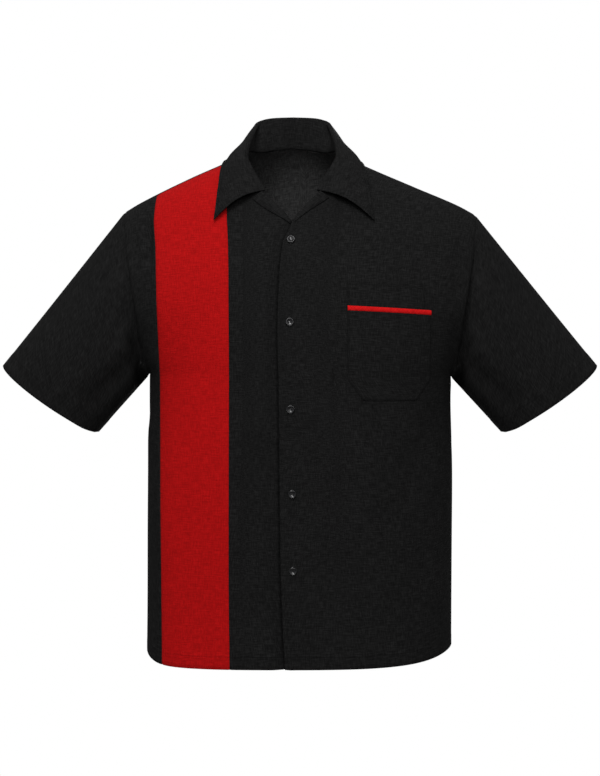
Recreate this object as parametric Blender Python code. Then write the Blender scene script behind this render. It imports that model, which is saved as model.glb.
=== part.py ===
"""A short-sleeved bowling shirt, buttoned and filled out as if it were worn. Millimetres in the
sizes below, metres in the scene. +X is the wearer's left, -Y the front, +Z up. The origin is
between the shoulders, at the height where the collar meets them."""

import bpy
import numpy as np
from mathutils import Matrix

MM = 0.001
CLOTH = 1.6  # wall of one sewn layer
SEAM = 0.3  # gap between pieces that are sewn together
LAYER = 2.1  # from the middle of one layer to the middle of the one lying on it
CLOSURE_LAYER = 3.2  # the same where the left front lies over the right
POCKET_LAYER = 2.8

BODY_HALF = 225.5  # half the width under the arms
NECK_X = -10.5  # the neck and the closure sit a little to the wearer's right
HEM_Z = -732.5
SEAM_FORWARD = -1.4  # shoulder seam, as a root drop in front of the shoulder line
UNDERARM_RUN = 0.609  # share of a panel's run at which the armhole starts

CUFF_TOP = (446.0, 14.0, -302.0)
CUFF_LOW = (303.0, 14.0, -403.0)
CUFF_DEPTH = 57.0  # half the cuff, front to back
CUFF_SWEEP = 8.0  # degrees that the cuff faces backwards

PIPING = 6.5
BUTTON_R = 5.7
BUTTON_H = 2.8
BUTTON_HOLE_R = 0.75
BUTTON_HOLE_AT = 1.5

BLACK_CLOTH = (0.0116, 0.0116, 0.0116, 1.0)
RED_CLOTH = (0.3663, 0.0075, 0.0075, 1.0)
BLACK_PLASTIC = (0.0060, 0.0060, 0.0065, 1.0)


def table(columns, rows):
    """A dict of the named columns."""
    return dict(zip(columns.split(), np.array(rows, float).T))


# Height of the shoulder line across the body. Inside the neck it is only a guide.
SHOULDER = table("x z", [
    (-330, -108), (-262, -74), (-240, -61), (-163, -23), (-111, 0), (-78, 16), (-67, 27),
    (-10, 50), (47, 26), (58, 14), (86, 0), (172, -37), (238, -65), (262, -78), (330, -112),
])
# Share of the full depth reached at each drop below the shoulder line.
DEPTH = table("drop neck_front arm_front neck_back arm_back", [
    (0, 0.00, 0.00, 0.00, 0.00),
    (12, 0.17, 0.24, 0.55, 0.28),
    (36, 0.30, 0.42, 0.76, 0.48),
    (66, 0.41, 0.56, 0.87, 0.66),
    (96, 0.53, 0.68, 0.92, 0.78),
    (133, 0.67, 0.80, 0.96, 0.88),
    (200, 0.86, 0.93, 0.99, 0.97),
    (300, 0.98, 1.00, 1.00, 1.00),
    (420, 1.00, 1.00, 1.00, 1.00),
])
# Half depths, front and back, down the body.
GIRTH = table("z front back", [
    (-740, 149, 140), (-500, 147, 138), (-300, 145, 138), (-150, 142, 137), (0, 140, 135),
])
# Armhole seam from the underarm (0) to the shoulder tip (1), with the half width of the
# section that it is cut from.
ARMHOLE = table("rise seam_x section_x", [
    (0.00, 225.5, 225.5), (0.07, 227.5, 232.0), (0.20, 232.5, 245.0), (0.50, 245.0, 284.0),
    (0.81, 257.0, 308.0), (1.00, 262.0, 315.0), (1.50, 262.0, 324.0),
])
# Front neckline: distance from the neck's middle to each side.
NECKLINE = table("z right left", [
    (-98, 0, 0), (-84, 13, 11), (-68, 29, 25), (-52, 45, 40), (-36, 55, 50), (-18, 63, 60),
    (0, 68, 66), (15, 69, 68.5),
])
# Back neckline: root drop behind the shoulder line at each distance from the neck's middle.
BACK_NECK = table("off run", [(0, 4.0), (30, 3.5), (50, 2.6), (60, 1.6), (66, 0), (69, -1.4)])
# Edge of the left front, which buttons over the right.
CLOSURE = table("z x", [
    (-733, -20.5), (-653, -24.5), (-578, -27), (-326, -30), (-257, -31.5), (-184, -29.5),
    (-141, -26), (-126, -23), (-113, -17), (-98, -10.5),
])
# Seams each side of the red panel.
STRIPE = table("z outer inner", [
    (-735, -197.5, -99.0), (-600, -199, -100.5), (-465, -201, -100.5), (-325, -203.5, -100.5),
    (-205, -207, -101.5), (-135, -210, -103), (-85, -214.5, -106), (-50, -213.5, -107),
    (0, -213, -107.5),
])
# Collar, round half the neck from the middle of the back (0) to its front end (1): its fold
# and its outer edge, with how far the fall puffs out between them.
COLLAR = table("round fold_x fold_y fold_z edge_x edge_y edge_z puff", [
    (0.00, 0, 84, 83, 0, 102, 24, 3),
    (0.15, 30, 84, 82, 42, 99, 22, 4),
    (0.30, 54, 78, 75, 76, 82, 14, 7),
    (0.42, 62, 38, 54, 93, 45, 3, 6),
    (0.52, 67, 8, 34, 99, 5, 4, 5),
    (0.65, 69.5, -28, 11, 105, -28, -15, 5),
    (0.75, 63, -44, -8, 108, -48, -35, 5),
    (0.87, 52.5, -57, -28, 112, -70, -62, 4),
    (1.00, 43, -70, -47, 116, -94, -95, 3),
])
# The collar's seam for the same steps: distance from the neck's middle along the back, then
# height down the front.
SEAM_BACK = (0, 28, 50, 61, 67.5)
SEAM_FRONT = (-3, -19, -36, -52)
FOLD_REACH = {-1: 0.98, 1: 0.86}  # how far the fold's front ends spread, by side
EDGE_REACH = {-1: 0.98, 1: 1.01}
# Width of each turned-out lapel from its notch (0) to the foot of the neckline (1).
LAPEL = table("down right left", [(0, 17, 15), (0.35, 14.5, 10.5), (0.7, 9.5, 6), (1, 3, 3)])
LAPEL_TOP, LAPEL_FOOT = -54.0, -97.0

POCKET_LEFT, POCKET_RIGHT, BAND_RIGHT = 67.5, 187.0, 178.0
POCKET_TOP, POCKET_FOOT, BAND_FOOT = -187.5, -355.0, -220.5
POCKET_CORNER = (22.0, 31.0)  # width and height cut off each lower corner
POCKET_TILT = 0.056  # fall of the pocket's top for each unit of width
BUTTONS = table("z x", [(-126, -13), (-244, -14.5), (-367, -13.5), (-486, -11), (-594, -10)])


def along(rows, x, column, of="x"):
    """The column's value at each x, on a smooth curve that never overshoots its rows."""
    order = np.argsort(rows[of])
    at, value = rows[of][order], rows[column][order]
    step, slope = np.diff(at), np.diff(value) / np.diff(at)
    inner = np.where(slope[:-1] * slope[1:] > 0,
                     2 * slope[:-1] * slope[1:] / (slope[:-1] + slope[1:] + 1e-12), 0)
    tangent = np.concatenate([slope[:1], inner, slope[-1:]])
    x = np.clip(x, at[0], at[-1])
    i = np.clip(np.searchsorted(at, x) - 1, 0, len(step) - 1)
    t = (x - at[i]) / step[i]
    return ((1 + 2 * t) * (1 - t) ** 2 * value[i] + t * (1 - t) ** 2 * step[i] * tangent[i]
            + t * t * (3 - 2 * t) * value[i + 1] - t * t * (1 - t) * step[i] * tangent[i + 1])


def ease(x, start, end):
    t = np.clip((x - start) / (end - start), 0, 1)
    return t * t * (3 - 2 * t)


def unit(v):
    return v / np.maximum(np.linalg.norm(v, axis=-1, keepdims=True), 1e-9)


def hem(x):
    """Height of the hem, which rises into the side seams."""
    side = np.clip(np.abs(x) / BODY_HALF, 0, 1)
    return HEM_Z + np.where(x < 0, 14 * side ** 18, 16 * side ** 6)


def shoulder(x):
    return along(SHOULDER, x, "z")


def underarm(side):
    """Height of the underarm point of the side at -1 or 1."""
    low = np.sqrt(shoulder(side * BODY_HALF) - hem(side * BODY_HALF))
    run = -SEAM_FORWARD + UNDERARM_RUN * (low + SEAM_FORWARD)
    return shoulder(side * BODY_HALF) - run ** 2


def rise(x, z):
    """How far up the armhole a height is, from 0 at the underarm to 1 at the shoulder tip."""
    low = np.where(x < 0, underarm(-1.0), underarm(1.0))
    tip = shoulder(np.where(x < 0, -262.0, 262.0))
    return np.clip((z - low) / (tip - low), 0, 1.5)


def roundness(x, z):
    """Power of the section: squarer at the wearer's right, and the same on both at the arms."""
    return 2.4 + np.where(x < 0, 1.0, -0.15) * ease(z, -300, -560)


def side_x(side, z):
    """Side seam, then armhole seam."""
    return side * along(ARMHOLE, rise(side, z), "seam_x", "rise")


def angle_at(x, z):
    wide = along(ARMHOLE, rise(x, z), "section_x", "rise")
    share = np.clip(np.abs(x) / wide, 0, 1)
    return np.sign(x) * np.arcsin(np.clip(share ** (roundness(x, z) / 2), 0, 1))


def body(angle, run):
    """Points of the body's surface. angle goes round it, from 0 at the middle to a quarter
    turn at the sides. run is the root of the drop below the shoulder line, minus in front."""
    x = BODY_HALF * np.sin(angle)
    for _ in range(12):
        z = shoulder(x) - run ** 2
        power = 2 / roundness(angle, z)
        x = np.sign(angle) * along(ARMHOLE, rise(angle, z), "section_x", "rise") \
            * np.abs(np.sin(angle)) ** power
    z = shoulder(x) - run ** 2
    arm = ease(np.abs(x - NECK_X), 30, 130)
    share = 0
    for at, name, girth, way in ((run < 0, "front", "front", -1), (run >= 0, "back", "back", 1)):
        depth = [along(DEPTH, np.abs(run), f"{part}_{name}", "root") for part in ("neck", "arm")]
        share = share + at * way * (depth[0] + (depth[1] - depth[0]) * arm) \
            * along(GIRTH, z, girth, "z")
    y = share * np.clip(np.cos(angle), 0, 1) ** power
    return np.stack([x, y, z], -1)


DEPTH["root"] = np.sqrt(DEPTH["drop"])


def front_point(x, z, out=0.0):
    """A point of the front, and how far out of its surface."""
    x, z = np.broadcast_arrays(np.asarray(x, float), np.asarray(z, float))

    def at(x, z):
        return body(angle_at(x, z), -np.sqrt(np.maximum(shoulder(x) - z, 0.01)))

    point = at(x, z)
    across, down = at(x + 1, z) - point, at(x, z - 1) - point
    return point + out * unit(np.cross(down, across))


def front_top(x):
    """Run of a front's top edge: the shoulder seam, then down the neckline."""
    off = x - NECK_X
    z = np.where(off < 0, along(NECKLINE, -off, "z", "right"), along(NECKLINE, off, "z", "left"))
    return -np.sqrt(np.maximum(shoulder(x) - z, SEAM_FORWARD ** 2))


def right_front_top(x):
    """The same for the right front, whose corner stays down behind the left one."""
    behind = -np.sqrt(shoulder(x) - (NECKLINE["z"][0] - 0.6 * (x - NECK_X)))
    return np.where(x > NECK_X, behind, front_top(x))


def back_top(x):
    return np.where(np.abs(x - NECK_X) > 69, SEAM_FORWARD,
                    along(BACK_NECK, np.abs(x - NECK_X), "run", "off"))


SHARES_UP = np.array([0, 0.07, 0.15, 0.25, 0.37, 0.50, 0.63, 0.75, 0.85, 0.925, 0.975, 1])
SHARES_DOWN = np.array([0.12, 0.3, 0.52, 0.76, 1])
UP = len(SHARES_UP) - 1


def panel(edge_a, edge_b, top, back, columns):
    """Grid of points between two edges, from its top to the hem. Rows fall on the underarms,
    and columns start at these places along the top."""
    way = 1 if back else -1
    start = SEAM_FORWARD if back else -SEAM_FORWARD
    low = np.sqrt(shoulder(BODY_HALF) - hem(BODY_HALF))
    mark = (UNDERARM_RUN * (low + SEAM_FORWARD) - SEAM_FORWARD - start) / (low - start)
    share = np.concatenate([SHARES_UP * mark, mark + (1 - mark) * SHARES_DOWN])[:, None]

    columns = np.asarray(columns, float)
    turns = angle_at(columns, shoulder(columns) - top(columns) ** 2)
    across = (turns - turns[0]) / (turns[-1] - turns[0])
    x, run = columns + 0 * share, way * (start + (low - start) * share) + 0 * columns
    for _ in range(40):
        z = shoulder(x) - run ** 2
        a, b = angle_at(edge_a(z), z), angle_at(edge_b(z), z)
        x = 0.5 * x + 0.5 * body(a + (b - a) * across, run)[..., 0]
        first, last = top(x[0]), way * np.sqrt(shoulder(x[-1]) - hem(x[-1]))
        run = 0.5 * run + 0.5 * (first + (last - first) * share)
    return body(a + (b - a) * across, run)


def normals(grid, closed=False):
    """Unit normals of a grid of points. A closed grid meets itself along its second axis."""
    down = np.gradient(grid, axis=0)
    if closed:
        across = (np.roll(grid, -1, 1) - np.roll(grid, 1, 1)) / 2
    else:
        across = np.gradient(grid, axis=1)
    return unit(np.cross(down, across))


def solid(name, middle, offset, finish, closed=False):
    """A wall of cloth: the grid moved by offset each way, with its edges closed."""
    rows, columns = middle.shape[:2]
    points = np.concatenate([(middle + offset).reshape(-1, 3), (middle - offset).reshape(-1, 3)])
    number = np.arange(rows * columns).reshape(rows, columns)
    if closed:
        number = np.concatenate([number, number[:, :1]], 1)
    back = number + rows * columns

    def quads(a, b, c, d):
        return np.stack([a, b, c, d], -1).reshape(-1, 4)

    faces = [quads(number[:-1, :-1], number[1:, :-1], number[1:, 1:], number[:-1, 1:]),
             quads(back[:-1, :-1], back[:-1, 1:], back[1:, 1:], back[1:, :-1]),
             quads(number[0, :-1], number[0, 1:], back[0, 1:], back[0, :-1]),
             quads(number[-1, 1:], number[-1, :-1], back[-1, :-1], back[-1, 1:])]
    if not closed:
        faces += [quads(number[1:, 0], number[:-1, 0], back[:-1, 0], back[1:, 0]),
                  quads(number[:-1, -1], number[1:, -1], back[1:, -1], back[:-1, -1])]
    return make(name, points, np.concatenate(faces), finish)


def make(name, points, faces, finish):
    """A mesh object whose faces are turned outwards."""
    faces = [[int(i) for i in face] for face in faces]
    volume = sum(np.dot(points[f[0]], np.cross(points[f[i]], points[f[i + 1]]))
                 for f in faces for i in range(1, len(f) - 1))
    if volume < 0:
        faces = [face[::-1] for face in faces]
    mesh = bpy.data.meshes.new(name)
    mesh.from_pydata((np.asarray(points) * MM).tolist(), [], faces)
    thing = bpy.data.objects.new(name, mesh)
    bpy.context.scene.collection.objects.link(thing)
    mesh.materials.append(finish)
    return thing


def finish_of(name, colour, roughness):
    material = bpy.data.materials.new(name)
    material.use_nodes = True
    shader = material.node_tree.nodes["Principled BSDF"]
    shader.inputs["Base Color"].default_value = colour
    shader.inputs["Roughness"].default_value = roughness
    material.diffuse_color = colour
    return material


def edge_of(rows, column):
    return lambda z: along(rows, z, column, "z")


def moved(edge, by):
    return lambda z: edge(z) + by


def outward(grid):
    """Half a wall out of the body at each point of a panel."""
    n = normals(grid)
    middle = np.array([0, 0, -350.0])
    if np.sum(n * (grid - middle)) < 0:
        n = -n
    return n * CLOTH / 2


def armhole(panels, side):
    """The armhole's seam from the shoulder line down the front and up the back, from the
    edges of the panels that it joins."""
    front, back = panels
    column = 0 if side < 0 else -1
    ring = np.concatenate([back[:1, column], front[1:UP + 1, column], back[UP - 1:0:-1, column]])
    return ring


def sleeve_grid(ring, side, rows):
    """Rings from the armhole to the cuff."""
    top, low = np.array(CUFF_TOP), np.array(CUFF_LOW)
    long = (top - low) / 2
    flat = unit(np.array([long[2], 0, -long[0]]))
    sweep = np.radians(CUFF_SWEEP)
    deep = CUFF_DEPTH * (np.array([0, -np.cos(sweep), 0]) + flat * np.sin(sweep))
    turn = np.concatenate([[0], half_turns(ring[:UP + 1])[1:], 2 * np.pi
                           - half_turns(np.concatenate([ring[UP:], ring[:1]])[::-1])[::-1][1:-1]])
    cuff = (top + low) / 2 + np.cos(turn)[:, None] * long + np.sin(turn)[:, None] * deep
    cuff[:, 0] *= side
    t = np.linspace(0, 1, rows)[:, None, None]
    return ring * (1 - t) + cuff * t


def half_turns(points):
    """Angles from 0 to half a turn, by the length walked along the points."""
    steps = np.linalg.norm(np.diff(points, axis=0), axis=1)
    return np.pi * np.concatenate([[0], np.cumsum(steps) / steps.sum()])


def tangents(ring):
    return unit(np.roll(ring, -1, 0) - np.roll(ring, 1, 0))


def mitred(ring, body_offset, sleeve_offset):
    """The offset shared by the edges of the body and of the sleeve all round an armhole, and
    the unit normal of the plane between them."""
    a, b = unit(body_offset), unit(sleeve_offset)
    share = np.maximum(1 + np.sum(a * b, -1, keepdims=True), 0.3)
    offset = (a + b) / share * CLOTH / 2
    return offset, unit(np.cross(offset, tangents(ring)))


def pulled(points, towards, plane):
    """Edge points moved along the cloth until they are half a seam's gap from a plane."""
    way = unit(towards - points)
    slope = np.maximum(np.abs(np.sum(way * plane, -1, keepdims=True)), 0.2)
    return points + way * 0.22 / slope


def drawn_in(grid):
    """A panel made smaller by half a seam's gap all round."""
    grid = grid.copy()
    for axis in (0, 1):
        for edge, inner in ((0, 1), (-1, -2)):
            ends, next_in = np.take(grid, edge, axis), np.take(grid, inner, axis)
            moved_in = ends + unit(next_in - ends) * (0.25 if axis == 0 else SEAM / 2)
            if axis == 0:
                grid[edge] = moved_in
            else:
                grid[:, edge] = moved_in
    return grid


def body_panels():
    """Grids of the back and of the four front pieces."""
    stripe = (STRIPE["outer"][-2], STRIPE["inner"][-1])
    neck = NECK_X + np.array([-69, -67.5, -65, -61, -55, -47, -37, -26, -14, 0])
    neck_left = NECK_X - neck[::-1] + NECK_X
    arm = np.array([75, 100, 130, 160, 190, 217, 242, 262])
    right, left = (lambda z: side_x(-1.0, z)), (lambda z: side_x(1.0, z))
    outer, inner = edge_of(STRIPE, "outer"), edge_of(STRIPE, "inner")
    closing = edge_of(CLOSURE, "x")
    under = moved(closing, 27)
    grids = {
        "back": panel(right, left, back_top, True,
                      [*-arm[:0:-1], *neck, *neck_left[1:], *arm]),
        "right_front_side": panel(right, outer, front_top, False,
                                  np.linspace(-arm[-1], stripe[0], 7)),
        "right_front_panel": panel(outer, inner, front_top, False, np.linspace(*stripe, 7)),
        "right_front_centre": panel(inner, under, right_front_top, False,
                                    [stripe[1], -92, *neck, 0, 11]),
        "left_front": panel(closing, left, front_top, False, [*neck_left, *arm]),
    }
    grids["right_front_centre"] -= outward(grids["right_front_centre"]) / (CLOTH / 2) \
        * under_closure(grids["right_front_centre"][..., :1])
    return grids


def under_closure(x):
    """How far the right front lies inside the left one, beside and beneath it."""
    return CLOSURE_LAYER * ease(x, -52, -33)


def add_body_and_sleeves(black, red):
    grids = body_panels()
    offsets = {name: outward(grid) for name, grid in grids.items()}
    middles = {name: drawn_in(grid) for name, grid in grids.items()}
    for side, front, word in ((-1, "right_front_side", "right"), (1, "left_front", "left")):
        column = 0 if side < 0 else -1
        inner = 1 if side < 0 else -2
        ring = armhole((grids[front], grids["back"]), side)
        sleeve = sleeve_grid(ring, side, 7)
        n = normals(sleeve, closed=True)
        axis = sleeve.mean(1, keepdims=True)
        n = n * np.sign(np.sum(n * (sleeve - axis)))
        cloth = armhole((offsets[front], offsets["back"]), side)
        shared, plane = mitred(ring, cloth, n[0])
        offset = n * CLOTH / 2
        offset[0] = shared
        sleeve[0] = pulled(sleeve[0], sleeve[1], plane)
        for name, picks in ((front, np.arange(UP + 1)),
                            ("back", np.r_[0, -np.arange(1, UP + 1)])):
            rows = np.arange(UP + 1)
            picked = picks % len(ring)
            offsets[name][rows, column] = shared[picked]
            edge = pulled(grids[name][rows, column], grids[name][rows, inner], plane[picked])
            middles[name][rows[1:], column] = edge[1:]
            middles[name][0, column] += edge[0] - grids[name][0, column]
        solid(f"sleeve_{word}", sleeve, offset, black, closed=True)
    for name, grid in middles.items():
        solid(name, grid, offsets[name], red if name == "right_front_panel" else black)


def neck_seam(side):
    """The neck seam's points round half the neck, their outward normals, and the way into the
    neck's opening."""
    back_x = NECK_X + side * np.array(SEAM_BACK)
    front_z = np.array(SEAM_FRONT, float)
    front_x = NECK_X + side * along(NECKLINE, front_z, "left" if side > 0 else "right", "z")
    x = np.concatenate([back_x, front_x])
    run = np.concatenate([back_top(back_x), -np.sqrt(shoulder(front_x) - front_z)])
    angle = angle_at(x, shoulder(x) - run ** 2)
    points = body(angle, run)
    n = unit(np.cross(body(angle, run + 0.05) - points, body(angle + 0.01, run) - points))
    n = n * np.sign(np.where(np.abs(n[:, 2:]) > 0.2, n[:, 2:], -n[:, 1:2]))
    way = unit(np.cross(np.gradient(points, axis=0), n))
    centre = np.array([NECK_X, 0, 120.0])
    return points, n, way * np.sign(np.sum(way * (centre - points), -1, keepdims=True))


def body_samples():
    """Points of the upper body with their outward normals, leaving out the neck's opening."""
    angle, run = np.meshgrid(np.linspace(-1.45, 1.45, 121), np.linspace(-15, 12, 151))
    points = body(angle, run)
    n = normals(points)
    n = n * np.where(n[..., 2:] < 0, -1, 1)
    x = points[..., 0]
    keep = (np.abs(x - NECK_X) > 69) | (run < front_top(x)) | (run > back_top(x))
    return points[keep], n[keep]


def lifted(points, least, samples):
    """Points pushed out of the body until they are at least this far from it."""
    at, n = samples
    for _ in range(3):
        flat = points.reshape(-1, 3)
        near = np.array([np.argmin(np.sum((at - p) ** 2, 1)) for p in flat])
        far = np.sum((flat - at[near]) * n[near], 1, keepdims=True)
        points = (flat + n[near] * np.maximum(least - far, 0)).reshape(points.shape)
    return points


def half_collar(side, rounds, samples):
    """Grid of half the collar: stand, fold and fall from the neck seam to the outer edge."""
    seam, n, way = neck_seam(side)
    seam = seam + way * (CLOTH / 2 + SEAM + 0.7)
    fold, edge = (np.stack([COLLAR[f"{part}_{axis}"] for axis in "xyz"], -1)
                  for part in ("fold", "edge"))
    bend = COLLAR["round"] ** 2
    fold[:, 0] = NECK_X + side * fold[:, 0] * (1 + (FOLD_REACH[side] - 1) * bend)
    edge[:, 0] = NECK_X + side * edge[:, 0] * (1 + (EDGE_REACH[side] - 1) * bend)
    fold[-1] = seam[-1] + 3.5 * way[-1] + 1.6 * n[-1]
    seam, n, fold, edge = (
        np.stack([along({"round": COLLAR["round"], "v": part[:, i]}, rounds, "v", "round")
                  for i in range(3)], -1) for part in (seam, n, fold, edge))
    puff = along(COLLAR, rounds, "puff", "round")[:, None]
    up = unit(fold - seam)
    out = unit(n - np.sum(n * up, -1, keepdims=True) * up)
    bend = (3.0 - 1.7 * rounds ** 2)[:, None]
    hub = fold - bend * up
    rows = [seam + (hub - bend * out - seam) * t for t in (0, 0.5, 1)]
    start = lifted(hub + bend * out, LAYER + 0.2, samples)
    raised = start - hub - bend * out
    rows += [hub + bend * (up * np.sin(t) - out * np.cos(t)) + raised * (1 - np.cos(t)) / 2
             for t in np.pi * np.arange(1, 4) / 4]
    middle = (start + edge) / 2 + 2 * puff * out
    arch = (8 * rounds ** 6)[:, None] * np.array([0, 0, 1.0])
    for t in (0, 0.15, 0.35, 0.55, 0.78, 1):
        point = (1 - t) ** 2 * start + 2 * t * (1 - t) * middle + t * t * edge
        point = point + arch * np.sin(np.pi * t)
        rows.append(lifted(point, LAYER + 0.2 + 1.5 * t, samples) if t > 0.1 else point)
    return np.stack(rows)


def add_collar(black):
    samples = body_samples()
    rounds = np.array([0, 0.1, 0.2, 0.27, 0.33, 0.4, 0.48, 0.56, 0.64, 0.72, 0.8, 0.88, 0.95, 1])
    right, left = (half_collar(side, rounds, samples) for side in (-1, 1))
    grid = np.concatenate([right[:, :0:-1], left], 1)
    n = normals(grid)
    n = n * np.sign(np.sum(n[0, 13] * np.array([0, -1.0, 0])))
    solid("collar", grid, n * CLOTH / 2, black)


def front_layer(side, x, z, out):
    """A point this far out of the middle of a front."""
    inside = under_closure(np.asarray(x, float)) if side < 0 else 0
    point = front_point(x, z)
    n = unit(front_point(x, z, 1.0) - point)
    return point + n * np.asarray(out - inside)[..., None]


def add_lapel(name, side, black):
    z = np.linspace(LAPEL_TOP, LAPEL_FOOT, 8)
    word = "left" if side > 0 else "right"
    off = along(NECKLINE, z, word, "z")
    down = np.linspace(0, 1, 8)
    wide = along(LAPEL, down, word, "down")
    line = np.stack([off, z], -1)
    run = unit(np.gradient(line, axis=0))
    across = np.stack([-run[:, 1], run[:, 0]], -1)
    across = across * np.sign(across[:, :1])
    shares = np.linspace(0, 1, 4)
    flat = line[:, None] + across[:, None] * (wide[:, None] * shares)[..., None]
    out = LAYER + 0.15 + 0.9 * np.sin(np.pi * shares) * wide[:, None] / 14
    grid = front_layer(side, NECK_X + side * flat[..., 0], flat[..., 1], out)
    n = normals(grid)
    n = n * np.sign(-n[0, 0, 1])
    solid(name, grid, n * CLOTH / 2, black)


def pocket_grid(top, foot, right, rows, columns, out):
    """A piece of the pocket between two heights."""
    z = np.linspace(top, foot, rows)[:, None]
    cut = np.clip(1 - (z - POCKET_FOOT) / POCKET_CORNER[1], 0, 1) * POCKET_CORNER[0]
    x = POCKET_LEFT + cut + (right - POCKET_LEFT - 2 * cut) * np.linspace(0, 1, columns)
    tilt = np.clip((z - POCKET_FOOT) / (POCKET_TOP - POCKET_FOOT), 0, 1)
    return front_layer(1, x, z - POCKET_TILT * tilt * (x - POCKET_LEFT), out)


def add_pocket(black, red):
    line = BAND_FOOT - SEAM
    below = line - PIPING - SEAM
    for name, top, foot, right, rows, out, wall, finish in (
            ("pocket_band", POCKET_TOP, BAND_FOOT, BAND_RIGHT, 4, 0, CLOTH, black),
            ("pocket_piping", line, line - PIPING, POCKET_RIGHT, 3, 0.4, CLOTH + 0.8, red),
            ("pocket", below, POCKET_FOOT, POCKET_RIGHT, 10, 0, CLOTH, black)):
        grid = pocket_grid(top, foot, right, rows, 9, POCKET_LAYER + out)
        n = normals(grid)
        n = n * np.sign(-n[0, 0, 1])
        solid(name, grid, n * wall / 2, finish)


def button_mesh(plastic):
    """A four-hole button with a raised rim, lying on its back at the origin, facing +Z."""
    rim = [(BUTTON_R * 0.8, 0), (BUTTON_R, 0.7), (BUTTON_R, BUTTON_H - 0.6),
           (BUTTON_R - 0.5, BUTTON_H), (BUTTON_R - 1.2, BUTTON_H), (BUTTON_R - 2.0, BUTTON_H - 0.9)]
    turn = np.linspace(0, 2 * np.pi, 29)[:-1]
    points = np.array([(r * np.cos(a), r * np.sin(a), h) for r, h in rim for a in turn])
    size = len(turn)
    faces = [(k * size + i, k * size + (i + 1) % size, (k + 1) * size + (i + 1) % size,
              (k + 1) * size + i) for k in range(len(rim) - 1) for i in range(size)]
    faces += [tuple(range(size))[::-1], tuple(range(len(points) - size, len(points)))]
    disc = make("button", points, faces, plastic)
    corners = [(sx * BUTTON_HOLE_AT * 0.75, sy * BUTTON_HOLE_AT * 0.75)
               for sx in (-1, 1) for sy in (-1, 1)]
    ring = np.linspace(0, 2 * np.pi, 11)[:-1]
    drills = [(x + BUTTON_HOLE_R * np.cos(a), y + BUTTON_HOLE_R * np.sin(a), h)
              for x, y in corners for h in (-2, 5) for a in ring]
    sides = []
    for k in range(4):
        low = k * 20
        sides += [(low + i, low + (i + 1) % 10, low + 10 + (i + 1) % 10, low + 10 + i)
                  for i in range(10)]
        sides += [tuple(range(low, low + 10))[::-1], tuple(range(low + 10, low + 20))]
    cutter = make("button_holes", np.array(drills), sides, plastic)
    cut = disc.modifiers.new("holes", "BOOLEAN")
    cut.object, cut.operation, cut.solver = cutter, "DIFFERENCE", "EXACT"
    graph = bpy.context.evaluated_depsgraph_get()
    mesh = bpy.data.meshes.new_from_object(disc.evaluated_get(graph))
    bpy.data.objects.remove(disc)
    bpy.data.objects.remove(cutter)
    return mesh


def add_buttons(plastic):
    mesh = button_mesh(plastic)
    for number, (z, x) in enumerate(zip(BUTTONS["z"], BUTTONS["x"]), 1):
        seat = front_layer(1, x, z, CLOTH / 2 + SEAM)
        facing = unit(front_layer(1, x, z, 2.0) - front_layer(1, x, z, 0.0))
        across = unit(np.cross(facing, (0, 0, 1.0)))
        up = np.cross(across, facing)
        turn = np.eye(4)
        turn[:3, :3] = np.stack([-across, up, facing], -1)
        turn[:3, 3] = seat * MM
        placed = mesh.copy()
        placed.transform(Matrix(turn.tolist()))
        button = bpy.data.objects.new(f"button_{number}", placed)
        bpy.context.scene.collection.objects.link(button)


def main():
    for thing in list(bpy.data.objects):
        bpy.data.objects.remove(thing)
    black = finish_of("black_cloth", BLACK_CLOTH, 0.9)
    red = finish_of("red_cloth", RED_CLOTH, 0.9)
    plastic = finish_of("black_plastic", BLACK_PLASTIC, 0.25)
    add_body_and_sleeves(black, red)
    add_collar(black)
    add_lapel("lapel_right", -1, black)
    add_lapel("lapel_left", 1, black)
    add_pocket(black, red)
    add_buttons(plastic)


main()
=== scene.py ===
"""Looks of a short-sleeved bowling shirt, buttoned and filled out as if it were worn. Sizes are in
millimetres where a name or a table holds them, and metres in the scene. +X is the wearer's left,
-Y the front, +Z up. Every piece of cloth is a thin shell on the form of its solid."""

import bpy
import numpy as np
from mathutils import Matrix, Vector, kdtree


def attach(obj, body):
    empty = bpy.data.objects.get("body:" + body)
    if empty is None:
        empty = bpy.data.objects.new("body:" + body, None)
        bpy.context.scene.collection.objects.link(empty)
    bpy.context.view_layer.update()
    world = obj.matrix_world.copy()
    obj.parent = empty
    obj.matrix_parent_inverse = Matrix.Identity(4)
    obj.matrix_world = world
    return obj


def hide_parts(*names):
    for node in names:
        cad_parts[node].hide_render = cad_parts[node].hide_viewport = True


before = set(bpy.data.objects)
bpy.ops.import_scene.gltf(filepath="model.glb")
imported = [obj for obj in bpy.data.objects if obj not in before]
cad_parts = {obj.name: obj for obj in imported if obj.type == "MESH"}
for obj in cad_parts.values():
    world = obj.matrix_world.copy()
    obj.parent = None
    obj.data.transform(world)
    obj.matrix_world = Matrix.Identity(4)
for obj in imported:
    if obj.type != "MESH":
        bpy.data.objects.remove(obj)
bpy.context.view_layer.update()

MM = 0.001
SOLID_WALL = 1.6  # wall of the solids, which sets where each layer lies
SHEET = 0.9  # one layer of cloth
TURNED = 1.7  # the same where an edge is turned in and doubled
COLLAR_THICK = 1.5
SEAM_DIP = 1.1  # how deep a seam pulls the cloth in
SEAM_WIDE = 2.2
FALL_GAP = 2.3  # between the middles of the collar's fall and of the cloth under it
CLOSURE_LAYER = 5.0  # the right front's dip where the left one lies over it
CLOSURE_GROOVE = 3.6  # how much deeper it goes along that edge
CLOSURE_STANDS = 1.1  # how far out the left front's edge stands
UNDERLAP = 27.0  # how far the right front goes on beneath the left one
POCKET_OUT = 1.05

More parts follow.
